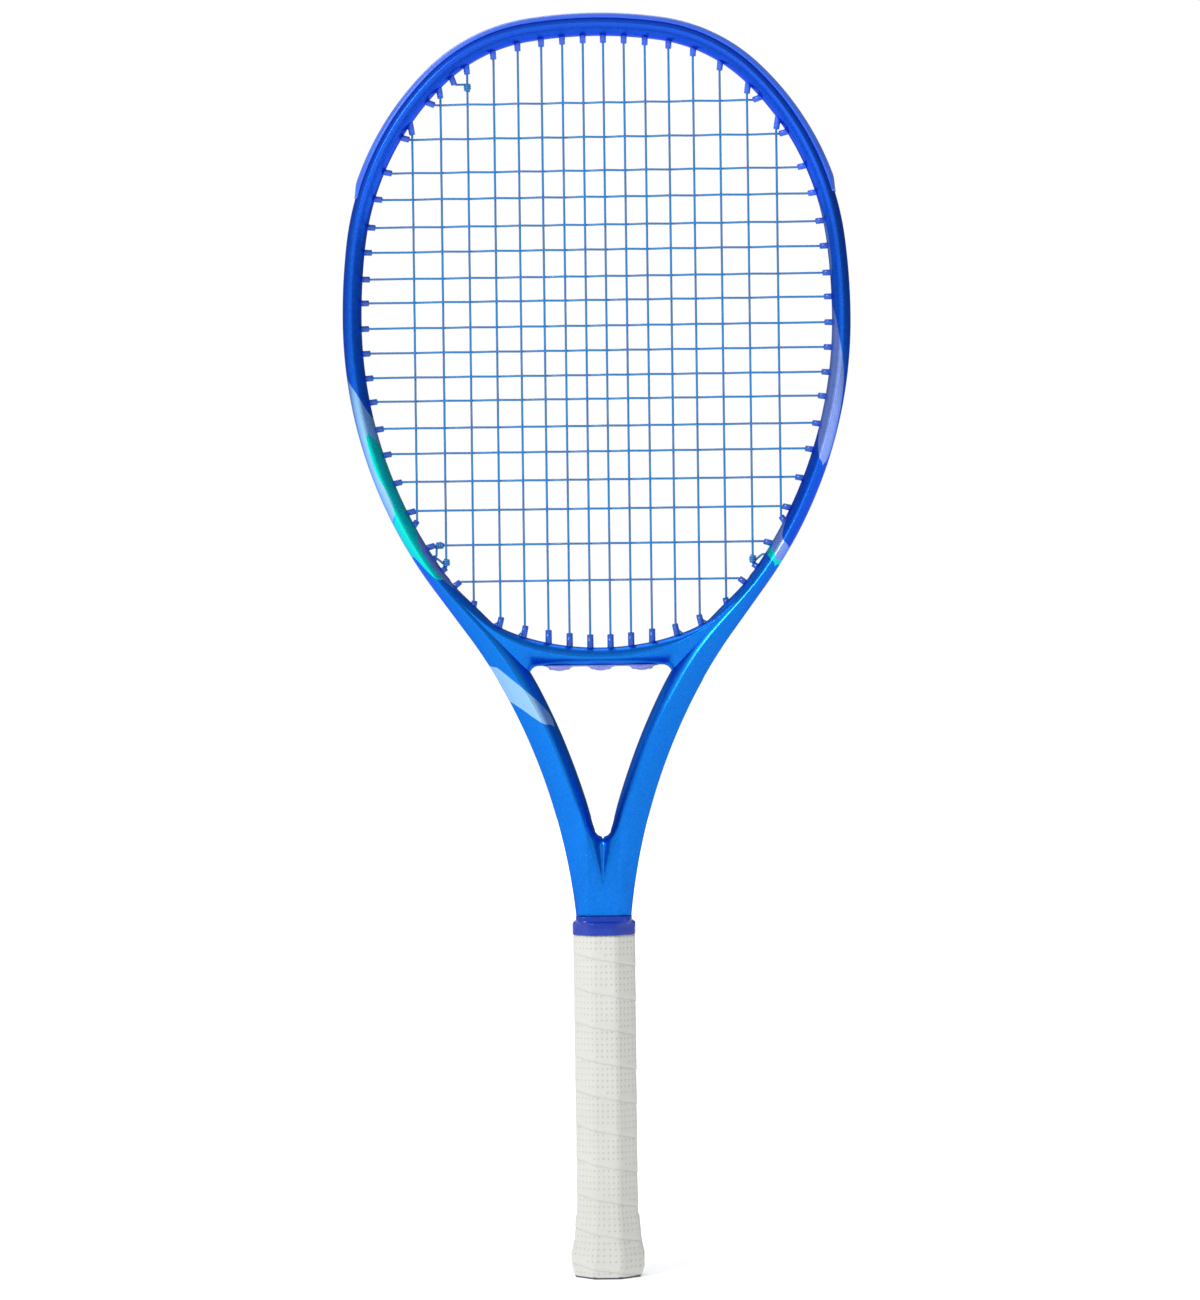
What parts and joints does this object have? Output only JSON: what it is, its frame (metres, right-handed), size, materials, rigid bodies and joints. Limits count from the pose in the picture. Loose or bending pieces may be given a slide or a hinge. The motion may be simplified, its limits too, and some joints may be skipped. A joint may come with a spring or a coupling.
{
  "type": "tennis racket",
  "caption": "Strung racket with a hollow oval frame, open throat, woven strings in grommet strips, bumper guard and a wrapped octagonal handle.",
  "frame": {"origin": "middle of the butt end, on the handle's axis", "axes": "+Z along the racket to the tip of the head, the strings in the XZ plane, the front towards -Y"},
  "size_m": [0.2756, 0.0368, 0.6849],
  "materials": {
    "frame_paint": "satin metallic paint over carbon",
    "guard_nylon": "satin nylon",
    "grommet_nylon": "satin nylon",
    "string_polyester": "translucent polyester",
    "handle_foam": "moulded polyurethane",
    "plug_silicone": "silicone",
    "cap_nylon": "moulded nylon",
    "staple_steel": "galvanised",
    "grip_leatherette": "cushioned polyurethane",
    "tape_black": "vinyl tape",
    "collar_rubber": "gloss rubber"
  },
  "bodies": {
    "racket": {"frame": "frame_paint", "throat_bridge": "frame_paint", "bumper_guard": "guard_nylon", "grommet_strip_left": "grommet_nylon", "grommet_strip_right": "grommet_nylon", "bridge_grommet_strip": "grommet_nylon", "main_string": "string_polyester", "cross_string": "string_polyester", "handle_core": "handle_foam", "balance_plugs": "plug_silicone", "butt_cap": "cap_nylon", "butt_cap_staples": "staple_steel", "grip_wrap": "grip_leatherette", "finishing_tape": "tape_black", "grip_collar": "collar_rubber"},
    "trap_door": {"butt_cap_door": "cap_nylon"}
  },
  "joints": [
    {"name": "trap_door_hinge", "type": "hinge", "parent": "racket", "child": "trap_door", "pos_m": [0, -0.00505, 0.00125], "axis": [-1, 0, 0], "range_deg": [0, 100]}
  ]
}
